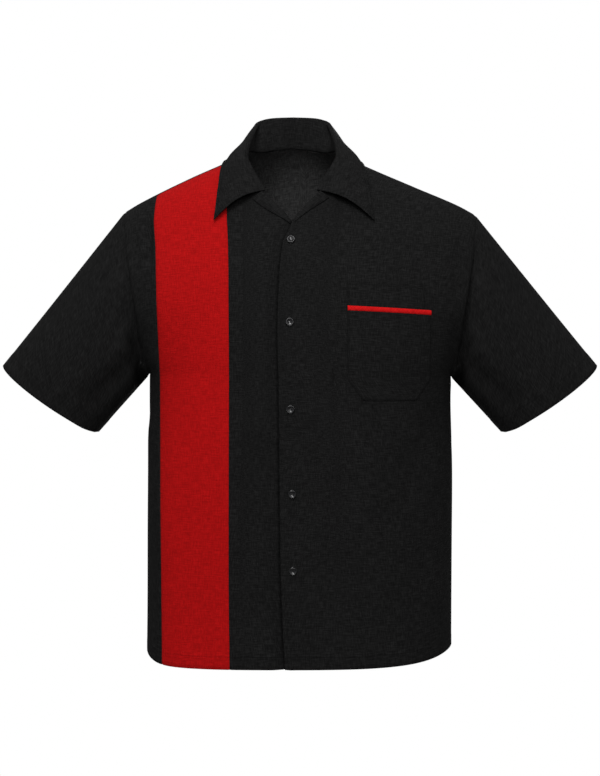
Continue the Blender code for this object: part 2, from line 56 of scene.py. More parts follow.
BODY_HALF = 225.5
NECK_X = -10.5
NECK_HALF = 69.0
SHOULDER_X = 262.0  # outer end of the shoulder seams
HEM_Z = -732.5
SEAM_FORWARD = -1.4
UNDERARM_RUN = 0.609
ROWS_UP, ROWS_DOWN = 76, 84
SECTION_POWER = 2.4
SQUARER = {"right": 1.0, "left": -0.15, "from": -300, "to": -560}  # of that power, lower down
ARM_BLEND = (30, 130)  # off the neck's middle, from the depths at the neck to those at the arms

CUFF_TOP = (446.0, 14.0, -302.0)
CUFF_LOW = (303.0, 14.0, -403.0)
CUFF_DEPTH = 57.0
CUFF_SWEEP = 8.0
TROUGH_FRONT, TROUGH_BACK = 15.0, 8.0  # how deep a sleeve falls in beside its armhole
TURN_LENGTH = 1.35  # of a sleeve's cloth to each degree round it

PIPING = 6.5
BUTTON_R = 5.7
BUTTON_H = 2.8
EYE_R, EYE_OFF = 0.75, 1.12  # the four holes, and how far each is off both middle lines
SLIT_HALF = 6.2  # half a buttonhole

HEM_STITCH = 17.0  # from the edge to its row of stitches
CUFF_STITCH = 24.0
COLLAR_STITCH = 5.0
POCKET_STITCH = 1.4
NO_STITCH = 400.0  # a distance that keeps a row of stitches from showing


def table(columns, rows):
    """A dict of the named columns."""
    return dict(zip(columns.split(), np.array(rows, float).T))


SHOULDER = table("x z", [
    (-330, -108), (-262, -74), (-240, -61), (-163, -23), (-111, 0), (-78, 16), (-67, 27),
    (-10, 50), (47, 26), (58, 14), (86, 0), (172, -37), (238, -65), (262, -78), (330, -112),
])
DEPTH = table("drop neck_front arm_front neck_back arm_back", [
    (0, 0.00, 0.00, 0.00, 0.00),
    (12, 0.17, 0.24, 0.55, 0.28),
    (36, 0.30, 0.42, 0.76, 0.48),
    (66, 0.41, 0.56, 0.87, 0.66),
    (96, 0.53, 0.68, 0.92, 0.78),
    (133, 0.67, 0.80, 0.96, 0.88),
    (200, 0.86, 0.93, 0.99, 0.97),
    (300, 0.98, 1.00, 1.00, 1.00),
    (420, 1.00, 1.00, 1.00, 1.00),
])
DEPTH["root"] = np.sqrt(DEPTH["drop"])
GIRTH = table("z front back", [
    (-740, 149, 140), (-500, 147, 138), (-300, 145, 138), (-150, 142, 137), (0, 140, 135),
])
ARMHOLE = table("rise seam_x section_x", [
    (0.00, 225.5, 225.5), (0.07, 227.5, 232.0), (0.20, 232.5, 245.0), (0.50, 245.0, 284.0),
    (0.81, 257.0, 308.0), (1.00, 262.0, 315.0), (1.50, 262.0, 324.0),
])
NECKLINE = table("z right left", [
    (-98, 0, 0), (-84, 13, 11), (-68, 29, 25), (-52, 45, 40), (-36, 55, 50), (-18, 63, 60),
    (0, 68, 66), (15, 69, 68.5),
])
BACK_NECK = table("off run", [(0, 4.0), (30, 3.5), (50, 2.6), (60, 1.6), (66, 0), (69, -1.4)])
HEM_RISE = table("height power", [(14, 18), (16, 6)])  # into the right and left side seams
CLOSURE = table("z x", [
    (-733, -20.5), (-653, -24.5), (-578, -27), (-326, -30), (-257, -31.5), (-184, -29.5),
    (-141, -26), (-126, -23), (-113, -17), (-98, -10.5),
])
STRIPE = table("z outer inner", [
    (-735, -197.5, -99.0), (-600, -199, -100.5), (-465, -201, -100.5), (-325, -203.5, -100.5),
    (-205, -207, -101.5), (-135, -210, -103), (-85, -214.5, -106), (-50, -213.5, -107),
    (0, -213, -107.5),
])
COLLAR = table("round fold_x fold_y fold_z edge_x edge_y edge_z puff", [
    (0.00, 0, 84, 83, 0, 102, 24, 3),
    (0.15, 30, 84, 82, 42, 99, 22, 4),
    (0.30, 54, 78, 75, 76, 82, 14, 7),
    (0.42, 62, 38, 54, 93, 45, 3, 6),
    (0.52, 67, 8, 34, 99, 5, 4, 5),
    (0.65, 69.5, -28, 11, 105, -28, -15, 5),
    (0.75, 63, -44, -8, 108, -48, -35, 5),
    (0.87, 52.5, -57, -28, 112, -70, -62, 4),
    (1.00, 43, -70, -47, 116, -94, -95, 3),
])
SEAM_BACK = (0, 28, 50, 61, 67.5)  # points of the neck seam: off the middle behind,
SEAM_FRONT = (-3, -19, -36, -52)  # and heights in front
# How far the front ends of the collar's fold and outer edge reach, at the right and the left.
FOLD_REACH = {-1: 0.98, 1: 0.86}
EDGE_REACH = {-1: 0.98, 1: 1.01}
NECK_RECESS = 13.3  # of the stand, where it passes the shoulder
LEAF_ARCH = 8.0  # how far a front end of the collar bows up
FOLD_BEND = (3.0, 1.3)  # radius of the fold, behind and at the front ends
STAND_ROWS, FOLD_ROWS = 10, 7
LAPEL = table("down right left", [(0, 17, 15), (0.35, 14.5, 10.5), (0.7, 9.5, 6), (1, 3, 3)])
LAPEL_ROLL = table("reach out", [
    (2.5, -1.3), (0.8, -1.5), (-0.6, -1.2), (-1.4, -0.3), (-1.5, 0.7), (-0.9, 1.6),
])
LAPEL_TOP, LAPEL_FOOT = -52.0, -97.0

POCKET_LEFT, POCKET_RIGHT, BAND_RIGHT = 67.5, 187.0, 178.0
POCKET_TOP, POCKET_FOOT, BAND_FOOT = -187.5, -355.0, -220.5
POCKET_CORNER = (22.0, 31.0)
POCKET_TILT = 0.056
BUTTONS = table("z x spin", [
    (-126, -13, 8), (-244, -14.5, -14), (-367, -13.5, 21), (-486, -11, -5), (-594, -10, 12),
])

# Columns of the grids: off the neck's middle, by the closing edge, and off a seam.
NECK_COLUMNS = np.array([69, 68, 66.6, 65, 63, 60.5, 57.5, 54, 50, 46, 42, 38, 34, 30, 26, 22, 18,
                         14, 10, 6, 2.6, 0])
CLOSURE_COLUMNS = [*np.arange(-53.5, -3, 1.0), 0, 4, 8, 11]
SEAM_COLUMNS = np.array([0.0, 1.2, 2.6, 4.6])
SLEEVE_ROWS = np.concatenate([[0, 0.006, 0.014, 0.024], np.linspace(0.036, 1, 44)])

# Soft folds of the body: from one place to another, how wide, and how far out, or in with a minus.
FRONT_FOLDS = table("x0 z0 x1 z1 wide out", [
    (-244, -108, -237, -172, 8, -3.0), (-221, -92, -219, -160, 5.5, -7.5),
    (-219, -300, -213, -398, 12, -5.0), (-216, -430, -215, -690, 9, -1.6),
    (-66, -400, -62, -560, 22, -7.0), (-72, -540, -58, -690, 20, -5.0),
    (-92, -300, -70, -402, 22, -1.6), (-44, -160, -41, -700, 7, -1.5),
    (-170, -180, -160, -420, 38, 1.6), (-150, -470, -140, -720, 34, -1.4),
    (236, -116, 226, -215, 9, -2.8), (229, -235, 218, -318, 10, -2.4),
    (219, -330, 120, -545, 24, -3.0), (214, -420, 182, -700, 26, 2.4),
    (150, -560, 128, -716, 30, -2.2), (62, -398, 84, -560, 30, 2.2), (30, -470, 52, -716, 24, -2.4),
    (6, -250, 20, -420, 22, 1.2), (120, -92, 205, -128, 20, 1.8), (-118, -60, -200, -108, 16, 1.2),
    (98, -360, 176, -446, 26, -1.6),
])
BACK_FOLDS = table("x0 z0 x1 z1 wide out", [
    (-240, -118, -224, -250, 13, -3.4), (-226, -262, -150, -392, 18, -4.2),
    (-212, -398, -176, -640, 26, -3.4), (-150, -330, -96, -520, 30, 3.0),
    (-96, -500, -112, -716, 24, -3.2), (-40, -300, -52, -560, 34, 2.4),
    (-18, -540, 4, -722, 22, -2.6), (44, -250, 30, -470, 30, -2.2), (70, -480, 88, -716, 26, 3.0),
    (146, -340, 118, -560, 24, -3.4), (224, -258, 158, -410, 17, -4.4),
    (238, -120, 222, -236, 12, -3.2), (206, -430, 190, -690, 22, -3.0),
    (-70, -90, 30, -112, 16, -1.8), (96, -120, 190, -170, 20, 2.2),
])
# Soft folds of a sleeve, seen from above its top line: how far out from the armhole seam, and
# the turn in degrees from the top (0) over the front (90) and the underarm (180) to the back.
SLEEVE_FOLDS = table("out0 turn0 out1 turn1 wide out", [
    (12, 44, 64, 52, 8, -2.4), (6, 60, 120, 78, 12, 2.6), (10, 92, 60, 104, 11, -3.0),
    (20, 122, 150, 100, 17, 3.0), (16, 140, 110, 128, 12, -3.6), (70, 150, 190, 132, 14, 2.6),
    (60, 196, 176, 188, 14, -2.4), (14, 228, 140, 236, 16, -3.6), (20, 262, 120, 268, 15, 3.0),
    (30, 292, 170, 284, 13, -2.6), (8, 318, 80, 312, 10, -2.2), (90, 30, 180, 24, 15, -1.6),
])


def along(rows, x, column, of="x"):
    """The column's value at each x, on a smooth curve that never overshoots its rows."""
    order = np.argsort(rows[of])
    at, value = rows[of][order], rows[column][order]
    step, slope = np.diff(at), np.diff(value) / np.diff(at)
    inner = np.where(slope[:-1] * slope[1:] > 0,
                     2 * slope[:-1] * slope[1:] / (slope[:-1] + slope[1:] + 1e-12), 0)
    tangent = np.concatenate([slope[:1], inner, slope[-1:]])
    x = np.clip(x, at[0], at[-1])
    i = np.clip(np.searchsorted(at, x) - 1, 0, len(step) - 1)
    t = (x - at[i]) / step[i]
    return ((1 + 2 * t) * (1 - t) ** 2 * value[i] + t * (1 - t) ** 2 * step[i] * tangent[i]
            + t * t * (3 - 2 * t) * value[i + 1] - t * t * (1 - t) * step[i] * tangent[i + 1])


def ease(x, start, end):
    t = np.clip((x - start) / (end - start), 0, 1)
    return t * t * (3 - 2 * t)


def bell(away, wide):
    return np.exp(-(away / wide) ** 2)


def unit(v):
    return v / np.maximum(np.linalg.norm(v, axis=-1, keepdims=True), 1e-9)


def grid_normals(grid):
    return unit(np.cross(np.gradient(grid, axis=0), np.gradient(grid, axis=1)))


def hem(x):
    """Height of the hem, which rises into the side seams."""
    side = np.clip(np.abs(x) / BODY_HALF, 0, 1)
    right, left = (height * side ** power for height, power in zip(*HEM_RISE.values()))
    return HEM_Z + np.where(x < 0, right, left)


def shoulder(x):
    return along(SHOULDER, x, "z")


def underarm(side):
    low = np.sqrt(shoulder(side * BODY_HALF) - hem(side * BODY_HALF))
    run = -SEAM_FORWARD + UNDERARM_RUN * (low + SEAM_FORWARD)
    return shoulder(side * BODY_HALF) - run ** 2


LOW_RIGHT, LOW_LEFT = underarm(-1.0), underarm(1.0)
TIP_RIGHT, TIP_LEFT = shoulder(-SHOULDER_X), shoulder(SHOULDER_X)


def rise(x, z):
    """How far up the armhole a height is, from 0 at the underarm to 1 at the shoulder tip."""
    low = np.where(x < 0, LOW_RIGHT, LOW_LEFT)
    tip = np.where(x < 0, TIP_RIGHT, TIP_LEFT)
    return np.clip((z - low) / (tip - low), 0, 1.5)


def roundness(x, z):
    """Power of the section: squarer at the wearer's right, and the same on both at the arms."""
    more = np.where(x < 0, SQUARER["right"], SQUARER["left"])
    return SECTION_POWER + more * ease(z, SQUARER["from"], SQUARER["to"])


def side_x(side, z):
    return side * along(ARMHOLE, rise(side, z), "seam_x", "rise")


def angle_at(x, z):
    wide = along(ARMHOLE, rise(x, z), "section_x", "rise")
    share = np.clip(np.abs(x) / wide, 0, 1)
    return np.sign(x) * np.arcsin(np.clip(share ** (roundness(x, z) / 2), 0, 1))


def body(angle, run):
    """Points of the body's surface. angle goes round it, from 0 at the middle to a quarter
    turn at the sides. run is the root of the drop below the shoulder line, minus in front."""
    x = BODY_HALF * np.sin(angle)
    for _ in range(12):
        z = shoulder(x) - run ** 2
        power = 2 / roundness(angle, z)
        x = np.sign(angle) * along(ARMHOLE, rise(angle, z), "section_x", "rise") \
            * np.abs(np.sin(angle)) ** power
    z = shoulder(x) - run ** 2
    arm = ease(np.abs(x - NECK_X), *ARM_BLEND)
    share = 0
    for at, name, way in ((run < 0, "front", -1), (run >= 0, "back", 1)):
        depth = [along(DEPTH, np.abs(run), f"{part}_{name}", "root") for part in ("neck", "arm")]
        share = share + at * way * (depth[0] + (depth[1] - depth[0]) * arm) \
            * along(GIRTH, z, name, "z")
    y = share * np.clip(np.cos(angle), 0, 1) ** power
    return np.stack([x, y, z], -1)


def front_point(x, z, out=0.0):
    """A point of the front, and how far out of its surface."""
    x, z = np.broadcast_arrays(np.asarray(x, float), np.asarray(z, float))

    def at(x, z):
        return body(angle_at(x, z), -np.sqrt(np.maximum(shoulder(x) - z, 0.01)))

    point = at(x, z)
    across, down = at(x + 1, z) - point, at(x, z - 1) - point
    return point + np.asarray(out)[..., None] * unit(np.cross(down, across))


def front_top(x):
    """Run of a front's top edge: the shoulder seam, then down the neckline."""
    off = x - NECK_X
    z = np.where(off < 0, along(NECKLINE, -off, "z", "right"), along(NECKLINE, off, "z", "left"))
    return -np.sqrt(np.maximum(shoulder(x) - z, SEAM_FORWARD ** 2))


def right_front_top(x):
    """The same for the right front, whose corner stays down behind the left one."""
    behind = -np.sqrt(shoulder(x) - (NECKLINE["z"][0] - 0.6 * (x - NECK_X)))
    return np.where(x > NECK_X, behind, front_top(x))


def back_top(x):
    off = np.abs(x - NECK_X)
    return np.where(off > NECK_HALF, SEAM_FORWARD, along(BACK_NECK, off, "run", "off"))


def panel(edge_a, edge_b, top, back, columns):
    """Grid of points between two edges, from its top to the hem. Rows fall on the underarms,
    and columns start at these places along the top."""
    way = 1 if back else -1
    start = SEAM_FORWARD if back else -SEAM_FORWARD
    low = np.sqrt(shoulder(BODY_HALF) - hem(BODY_HALF))
    mark = (UNDERARM_RUN * (low + SEAM_FORWARD) - SEAM_FORWARD - start) / (low - start)
    up, down = np.linspace(0, 1, ROWS_UP + 1), np.linspace(0, 1, ROWS_DOWN + 1)[1:]
    share = np.concatenate([mark * (0.35 * up ** 2 + 0.65 * up), mark + (1 - mark) * down])[:, None]

    columns = np.asarray(columns, float)
    turns = angle_at(columns, shoulder(columns) - top(columns) ** 2)
    across = (turns - turns[0]) / (turns[-1] - turns[0])
    x, run = columns + 0 * share, way * (start + (low - start) * share) + 0 * columns
    for _ in range(24):
        z = shoulder(x) - run ** 2
        a, b = angle_at(edge_a(z), z), angle_at(edge_b(z), z)
        x = 0.5 * x + 0.5 * body(a + (b - a) * across, run)[..., 0]
        first, last = top(x[0]), way * np.sqrt(shoulder(x[-1]) - hem(x[-1]))
        run = 0.5 * run + 0.5 * (first + (last - first) * share)
    return body(a + (b - a) * across, run)


def normals(grid, outwards):
    """Unit normals of a grid of points, on the side that this direction at its middle points to."""
    n = grid_normals(grid)
    middle = n[grid.shape[0] // 2, grid.shape[1] // 2]
    return n * np.sign(np.dot(middle, outwards))


def walked(grid, axis):
    """Length along the grid's lines from its first point."""
    steps = np.linalg.norm(np.diff(grid, axis=axis), axis=-1)
    lead = np.zeros_like(np.take(steps, [0], axis))
    return np.concatenate([lead, np.cumsum(steps, axis)], axis)


def pushed(x, z, folds):
    """How far the soft folds move the cloth out at each place."""
    total = 0 * x
    for x0, z0, x1, z1, wide, out in zip(*folds.values()):
        dx, dz = x1 - x0, z1 - z0
        t = np.clip(((x - x0) * dx + (z - z0) * dz) / (dx * dx + dz * dz), 0, 1)
        away = np.hypot(x - x0 - t * dx, z - z0 - t * dz)
        total = total + out * bell(away, wide) * (1 - 0.8 * (2 * t - 1) ** 4)
    return total


def seam_pull(away):
    """How far in a seam pulls the cloth at this distance from it."""
    return SEAM_DIP * bell(away, SEAM_WIDE)


def shell(name, middle, n, thick, sides, cloth, stitch):
    """A sheet with rounded edges round the middle grid, with the materials of its two sides.
    cloth holds each point's place on the flat cloth, and stitch its distance from the row of
    stitches and its place along it."""
    rows, columns = middle.shape[:2]
    half = np.broadcast_to(np.asarray(thick, float) / 2, (rows, columns))[..., None]
    number = np.arange(rows * columns).reshape(rows, columns)
    loop = np.concatenate([number[0, :-1], number[:-1, -1], number[-1, :0:-1], number[:0:-1, 0]])
    inner = np.concatenate([number[1, :-1], number[:-1, -2], number[-2, :0:-1], number[:0:-1, 1]])
    flat = middle.reshape(-1, 3)
    rim = flat[loop] + unit(flat[loop] - flat[inner]) * half.reshape(-1, 1)[loop] * 0.8
    points = np.concatenate([(middle + n * half).reshape(-1, 3), (middle - n * half).reshape(-1, 3),
                             rim])
    size = rows * columns
    a, b, c, d = (part.ravel() for part in (number[:-1, :-1], number[1:, :-1], number[1:, 1:],
                                            number[:-1, 1:]))
    edge = 2 * size + np.arange(len(loop))
    after = np.roll(loop, -1), np.roll(edge, -1)
    faces = np.concatenate([
        np.stack([a, b, c, d], -1), np.stack([a, d, c, b], -1) + size,
        np.stack([loop, after[0], after[1], edge], -1),
        np.stack([edge, after[1], after[0] + size, loop + size], -1)])
    lined = np.concatenate([np.zeros(len(a), int), np.ones(len(a), int),
                            np.zeros(2 * len(loop), int)])
    side = np.sum(np.cross(points[b[0]] - points[a[0]], points[d[0]] - points[a[0]]) * n[0, 0])
    if side < 0:
        faces = faces[:, ::-1]
    source = np.concatenate([np.arange(size), np.arange(size), loop])
    piece = mesh_piece(name, points, faces)
    for material in sides:
        piece.data.materials.append(material)
    piece.data.polygons.foreach_set("material_index", lined.astype(np.int32))
    corner = faces.ravel()
    for layer, values in (("cloth", cloth), ("stitch", stitch)):
        flat_values = np.stack([part.ravel() for part in values], -1)[source] * MM
        piece.data.uv_layers.new(name=layer).data.foreach_set(
            "uv", flat_values[corner].astype(np.float32).ravel())
    return piece


def linked(name, data):
    """An object of this data in the scene."""
    thing = bpy.data.objects.new(name, data)
    bpy.context.scene.collection.objects.link(thing)
    return thing


def plain_mesh(name, points, faces):
    mesh = bpy.data.meshes.new(name)
    mesh.from_pydata(np.asarray(points).tolist(), [], [list(map(int, f)) for f in faces])
    return mesh


def mesh_piece(name, points, faces):
    mesh = plain_mesh(name, np.asarray(points) * MM, faces)
    mesh.polygons.foreach_set("use_smooth", np.ones(len(mesh.polygons), bool))
    piece = linked(name, mesh)
    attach(piece, "root")
    return piece


def cut_piece(node):
    """Hides the solid that this piece of cloth stands for."""
    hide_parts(node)


def stitched(distances):
    """The nearest row of stitches: signed distance from it, and the place along it. distances
    holds, for each stitched edge, the distance to it, its row's distance and the place along."""
    gaps = np.stack([away - row for away, row, _ in distances])
    places = np.stack([place + 0 * gap for (_, _, place), gap in zip(distances, gaps)])
    nearest = np.argmin(np.abs(gaps), 0)[None]
    return [np.take_along_axis(values, nearest, 0)[0] for values in (gaps, places)]


def spaced(start, end, seams=(True, True)):
    """Places between two ends, closer together beside the ends that have a seam."""
    first, last = (SEAM_COLUMNS if seam else SEAM_COLUMNS[:1] for seam in seams)
    inner = np.linspace(first[-1], end - start - last[-1],
                        max(int(round((end - start) / SEAM_COLUMNS[-1])), 2))
    return start + np.concatenate([first[:-1], inner, end - start - last[-2::-1]])


def panels():
    """Grids of the back and of the four front pieces."""
    stripe = (STRIPE["outer"][-2], STRIPE["inner"][-1])
    neck_right, neck_left = NECK_X - NECK_HALF, NECK_X + NECK_HALF
    right, left = (lambda z: side_x(-1.0, z)), (lambda z: side_x(1.0, z))
    edges = {name: (lambda z, rows=rows, name=name: along(rows, z, name, "z"))
             for rows, name in ((STRIPE, "outer"), (STRIPE, "inner"), (CLOSURE, "x"))}
    right_shoulder = spaced(-SHOULDER_X, neck_right, (True, False))
    left_shoulder = spaced(neck_left, SHOULDER_X, (False, True))
    back_columns = np.concatenate([right_shoulder, NECK_X - NECK_COLUMNS[1:],
                                   NECK_X + NECK_COLUMNS[-2::-1], left_shoulder[1:]])
    return {
        "back": panel(right, left, back_top, True, back_columns),
        "right_front_side": panel(right, edges["outer"], front_top, False,
                                  spaced(-SHOULDER_X, stripe[0])),
        "right_front_panel": panel(edges["outer"], edges["inner"], front_top, False,
                                   spaced(*stripe)),
        "right_front_centre": panel(
            edges["inner"], lambda z: edges["x"](z) + UNDERLAP, right_front_top, False,
            [*spaced(stripe[1], neck_right, (True, False))[:-1], *(NECK_X - NECK_COLUMNS[:9]),
             *CLOSURE_COLUMNS]),
        "left_front": panel(edges["x"], left, front_top, False,
                            [*(NECK_X + NECK_COLUMNS[::-1]), *left_shoulder[1:]]),
    }


def half_turns(points):
    """Angles from 0 to half a turn, by the length walked along the points."""
    steps = np.linalg.norm(np.diff(points, axis=0), axis=1)
    return np.pi * np.concatenate([[0], np.cumsum(steps) / steps.sum()])


def armhole(front, back, side):
    """The armhole's edge from the underarm up the front and down the back."""
    column = 0 if side < 0 else -1
    return np.concatenate([front[ROWS_UP:0:-1, column], back[:ROWS_UP + 1, column]])


def sleeve_grid(ring, side):
    """Rows from the armhole to the cuff, and columns from the underarm over the front, the top
    and the back to the underarm again."""
    top, low = np.array(CUFF_TOP), np.array(CUFF_LOW)
    long = (top - low) / 2
    flat = unit(np.array([long[2], 0, -long[0]]))
    sweep = np.radians(CUFF_SWEEP)
    deep = CUFF_DEPTH * (np.array([0, -np.cos(sweep), 0]) + flat * np.sin(sweep))
    turn = np.concatenate([np.pi - half_turns(ring[:ROWS_UP + 1]), -half_turns(ring[ROWS_UP:])[1:]])
    cuff = (top + low) / 2 + np.cos(turn)[:, None] * long + np.sin(turn)[:, None] * deep
    cuff[:, 0] *= side
    t = SLEEVE_ROWS[:, None, None]
    return ring * (1 - t) + cuff * t, turn % (2 * np.pi)


def sleeve_folds(out, turn):
    """Soft folds of a sleeve, and the trough in which it falls away from its armhole."""
    degrees = np.degrees(turn)[None, :] + 0 * out
    scaled = {name: values * (TURN_LENGTH if name.startswith("turn") else 1)
              for name, values in SLEEVE_FOLDS.items()}
    folds = pushed(out, degrees * TURN_LENGTH, scaled)
    front = ease(degrees, 14, 96) * (1 - ease(degrees, 160, 184))
    behind = ease(degrees, 182, 210) * (1 - ease(degrees, 262, 330))
    deep = front * TROUGH_FRONT + behind * TROUGH_BACK
    return folds * ease(out, 0, 14) - deep * ease(out, 0, 3.5) * (1 - ease(out, 4, 36))


def closure_dip(x, z):
    """How far in the right front lies beneath the left one, and beside its edge."""
    edge = along(CLOSURE, z, "x", "z")
    groove = CLOSURE_GROOVE * bell(x - edge + 0.2, 2.6)
    return CLOSURE_LAYER * ease(x, edge - 20, edge - 3) + groove


def pocket_gap(x, z):
    """Distance outside the pocket's outline, or inside it with a minus."""
    top = POCKET_TOP - POCKET_TILT * (x - POCKET_LEFT)
    cut = (x - POCKET_LEFT - POCKET_CORNER[0], POCKET_RIGHT - POCKET_CORNER[0] - x)
    lean = np.hypot(*POCKET_CORNER)
    corners = [(-side * POCKET_CORNER[1] - (z - POCKET_FOOT) * POCKET_CORNER[0]) / lean
               for side in cut]
    right = np.where(z > BAND_FOOT - POCKET_TILT * (x - POCKET_LEFT), BAND_RIGHT, POCKET_RIGHT)
    return np.max([POCKET_LEFT - x, x - right, z - top, POCKET_FOOT - z, *corners], 0)


def plain_stitch(grid):
    return [np.full(grid.shape[:2], NO_STITCH), walked(grid, 0)]


def add_body(finishes):
    """The back, the four front pieces and the sleeves."""
    grids = panels()
    n = {name: normals(grid, (0, 1 if name == "back" else -1, 0)) for name, grid in grids.items()}
    out = {}
    for name, grid in grids.items():
        x, z = grid[..., 0], grid[..., 2]
        down, start = walked(grid, 0), walked(grid, 1)
        end = start[:, -1:] - start
        folds = pushed(x, z, BACK_FOLDS if name == "back" else FRONT_FOLDS)
        folds = folds * ease(down, 0, 26) * ease(end, 0, 6)
        if name == "left_front":
            out[name] = folds + CLOSURE_STANDS * (1 - ease(start, 1, 20))
        else:
            out[name] = folds * ease(start, 0, 6) - seam_pull(start)
        out[name] -= closure_dip(x, z) if name == "right_front_centre" else seam_pull(end)
        beside_neck = np.abs(x[:1] - NECK_X) < NECK_HALF + 0.5
        out[name] -= np.where(beside_neck, 0, seam_pull(down))
    for side, front, word in ((-1, "right_front_side", "right"), (1, "left_front", "left")):
        column = 0 if side < 0 else -1
        ring = armhole(grids[front], grids["back"], side)
        grid, turn = sleeve_grid(ring, side)
        wrapped = np.concatenate([grid[:, -2:-1], grid, grid[:, 1:2]], 1)
        sleeve_n = grid_normals(wrapped)[:, 1:-1]
        centre = grid.mean(1, keepdims=True)
        sleeve_n = sleeve_n * np.sign(np.sum(sleeve_n * (grid - centre)))
        edge_n = armhole(n[front], n["back"], side)
        mitre = edge_n + sleeve_n[0]
        mitre = mitre / np.maximum(1 + np.sum(edge_n * sleeve_n[0], -1, keepdims=True), 0.35)
        sleeve_n[0] = mitre
        n[front][ROWS_UP:0:-1, column] = mitre[:ROWS_UP]
        n["back"][:ROWS_UP + 1, column] = mitre[ROWS_UP:]
        n[front][0, column] = mitre[ROWS_UP]
        down, across = walked(grid, 0), walked(grid, 1)
        to_side = np.minimum(across, across[:, -1:] - across)
        moved = (sleeve_folds(down, turn) * ease(to_side, 0, 8) - seam_pull(down)
                 - seam_pull(to_side))
        to_cuff = down[-1:] - down
        thick = SHEET + (TURNED - SHEET) * (to_cuff < CUFF_STITCH)
        piece = shell(f"sleeve_{word}_cloth", grid + sleeve_n * moved[..., None], sleeve_n, thick,
                      (finishes["black"], finishes["black_inside"]),
                      (across - across[:, ROWS_UP:ROWS_UP + 1], -down),
                      stitched([(to_cuff, CUFF_STITCH, across)]))
        cut_piece(f"sleeve_{word}")
    for name, grid in grids.items():
        across, down = walked(grid, 1), walked(grid, 0)
        to_hem = down[-1:] - down
        thick = SHEET + (TURNED - SHEET) * (to_hem < HEM_STITCH) + 0 * across
        rows = [(to_hem, HEM_STITCH, across)]
        if name == "left_front":
            thick = np.maximum(thick, SHEET + 0.8 * (1 - ease(across, 18, 30)))
            rows.append((pocket_gap(grid[..., 0], grid[..., 2]), 0.8, 0 * across))
        middle = grid + n[name] * (out[name] - (thick - SHEET) / 4)[..., None]
        colour = "red" if name == "right_front_panel" else "black"
        piece = shell(f"{name}_cloth", middle, n[name], thick,
                      (finishes[colour], finishes[f"{colour}_inside"]),
                      (across - across[:, -1:] / 2, to_hem), stitched(rows))
        cut_piece(name)


def neck_seam(side):
    """The neck seam's points round half the neck, their outward normals, and the way into the
    neck's opening."""
    back_x = NECK_X + side * np.array(SEAM_BACK)
    word = "left" if side > 0 else "right"
    front_z = np.array(SEAM_FRONT, float)
    front_x = NECK_X + side * along(NECKLINE, front_z, word, "z")
    x = np.concatenate([back_x, front_x])
    run = np.concatenate([back_top(back_x), -np.sqrt(shoulder(front_x) - front_z)])
    angle = angle_at(x, shoulder(x) - run ** 2)
    points = body(angle, run)
    n = unit(np.cross(body(angle, run + 0.05) - points, body(angle + 0.01, run) - points))
    n = n * np.sign(np.where(np.abs(n[:, 2:]) > 0.2, n[:, 2:], -n[:, 1:2]))
    way = unit(np.cross(np.gradient(points, axis=0), n))
    centre = np.array([NECK_X, 0, 120.0])
    return points, n, way * np.sign(np.sum(way * (centre - points), -1, keepdims=True))


def body_tree():
    """The upper body's points and outward normals, to look up the nearest one."""
    angle, run = np.meshgrid(np.linspace(-1.45, 1.45, 181), np.linspace(-15, 12, 221))
    points = body(angle, run)
    n = grid_normals(points)
    n = n * np.where(n[..., 2:] < 0, -1, 1)
    x = points[..., 0]
    keep = (np.abs(x - NECK_X) > NECK_HALF) | (run < front_top(x)) | (run > back_top(x))
    points, n = points[keep], n[keep]
    tree = kdtree.KDTree(len(points))
    for i, point in enumerate(points):
        tree.insert(point, i)
    tree.balance()
    return tree, points, n


def lifted(points, least, tree):
    """Points pushed out of the body until they are at least this far from it."""
    finder, at, n = tree
    for _ in range(3):
        flat = points.reshape(-1, 3)
        near = np.array([finder.find(p)[1] for p in flat])
        far = np.sum((flat - at[near]) * n[near], 1, keepdims=True)
        points = (flat + n[near] * np.maximum(least - far, 0)).reshape(points.shape)
    return points


